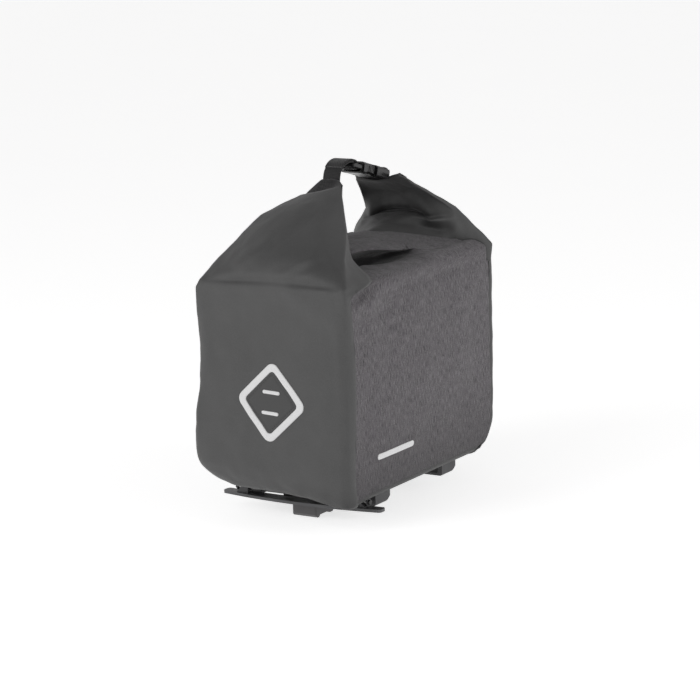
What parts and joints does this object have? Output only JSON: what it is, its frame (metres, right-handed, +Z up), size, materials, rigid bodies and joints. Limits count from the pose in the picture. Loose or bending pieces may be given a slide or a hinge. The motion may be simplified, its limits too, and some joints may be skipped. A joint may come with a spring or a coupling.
{
  "type": "rack top bag",
  "caption": "Roll-top bag that clips onto a bicycle's rear carrier: cloth body, folded wings joined by a strap and side-release buckle, adapter with rail hooks and a sprung release bar.",
  "frame": {"origin": "centre of the bag in X and Y, at the underside of the latch block, its lowest point", "axes": "+Z up, +Y the riding direction (nose end), +X the rider's right"},
  "size_m": [0.186, 0.29, 0.3483],
  "materials": {
    "tarpaulin": "matte coated",
    "heather_cloth": "woven melange",
    "board": "matte",
    "reflective": "reflective film",
    "patch_rubber": "matte",
    "webbing": "woven webbing",
    "buckle_plastic": "satin",
    "adapter_plastic": "moulded",
    "bar_paint": "satin",
    "steel": "zinc plated"
  },
  "bodies": {
    "bag": {"tail_panel": "tarpaulin", "nose_panel": "tarpaulin", "bottom_panel": "tarpaulin", "tail_wing": "tarpaulin", "nose_wing": "tarpaulin", "roll_band": "tarpaulin", "side_panel_left": "heather_cloth", "side_panel_right": "heather_cloth", "top_flap_left": "heather_cloth", "top_flap_right": "heather_cloth", "base_board": "board", "side_board_left": "board", "side_board_right": "board", "mouth_batten": "board", "reflective_ring": "reflective", "light_clip_bars": "reflective", "side_reflectors": "reflective", "light_clip_patch": "patch_rubber", "tail_strap": "webbing", "nose_strap": "webbing", "tail_end_strip": "webbing", "nose_end_strip": "webbing", "buckle_housing": "buckle_plastic", "chassis_plate": "adapter_plastic", "hook_tail_left": "adapter_plastic", "hook_tail_right": "adapter_plastic", "hook_nose_left": "adapter_plastic", "hook_nose_right": "adapter_plastic", "hinge_knuckle_left": "adapter_plastic", "hinge_knuckle_right": "adapter_plastic", "hinge_rod": "steel", "rod_clips": "steel", "torsion_spring_left": "steel", "torsion_spring_right": "steel", "hook_screws": "steel", "knuckle_screws": "steel", "chassis_bolts": "steel", "chassis_washers": "steel", "chassis_nuts": "steel"},
    "release_lever": {"release_bar": "bar_paint", "lever_cheek_left": "adapter_plastic", "lever_cheek_right": "adapter_plastic", "latch_block": "adapter_plastic", "latch_screws": "steel", "cheek_screws": "steel"},
    "buckle_plug": {"buckle_plug": "buckle_plastic"},
    "prong_left": {"buckle_prong_left": "buckle_plastic"},
    "prong_right": {"buckle_prong_right": "buckle_plastic"}
  },
  "joints": [
    {"name": "release_hinge", "type": "hinge", "parent": "bag", "child": "release_lever", "pos_m": [0, -0.1, 0.024], "axis": [1, 0, 0], "range_deg": [0, 16], "stiffness_Nm_per_rad": 0.6, "springref_deg": -34.38, "deforming": ["torsion_spring_left", "torsion_spring_right"]},
    {"name": "buckle_pull", "type": "slide", "parent": "bag", "child": "buckle_plug", "axis": [0, -0.9636, 0.2672], "range_m": [0, 0.032], "deforming": ["tail_strap", "buckle_prong_left", "buckle_prong_right"]},
    {"name": "prong_right_squeeze", "type": "hinge", "parent": "buckle_plug", "child": "prong_right", "pos_m": [0.011, 0.01065, 0.33744], "axis": [0, 0.2672, 0.9636], "range_deg": [0, 9], "stiffness_Nm_per_rad": 0.05, "springref_deg": -2.86},
    {"name": "prong_left_squeeze", "type": "hinge", "parent": "buckle_plug", "child": "prong_left", "pos_m": [-0.011, 0.01065, 0.33744], "axis": [0, -0.2672, -0.9636], "range_deg": [0, 9], "stiffness_Nm_per_rad": 0.05, "springref_deg": -2.86}
  ],
  "couplings": [
    {"joint": "prong_left_squeeze", "follows": "prong_right_squeeze", "ratio": 1}
  ]
}
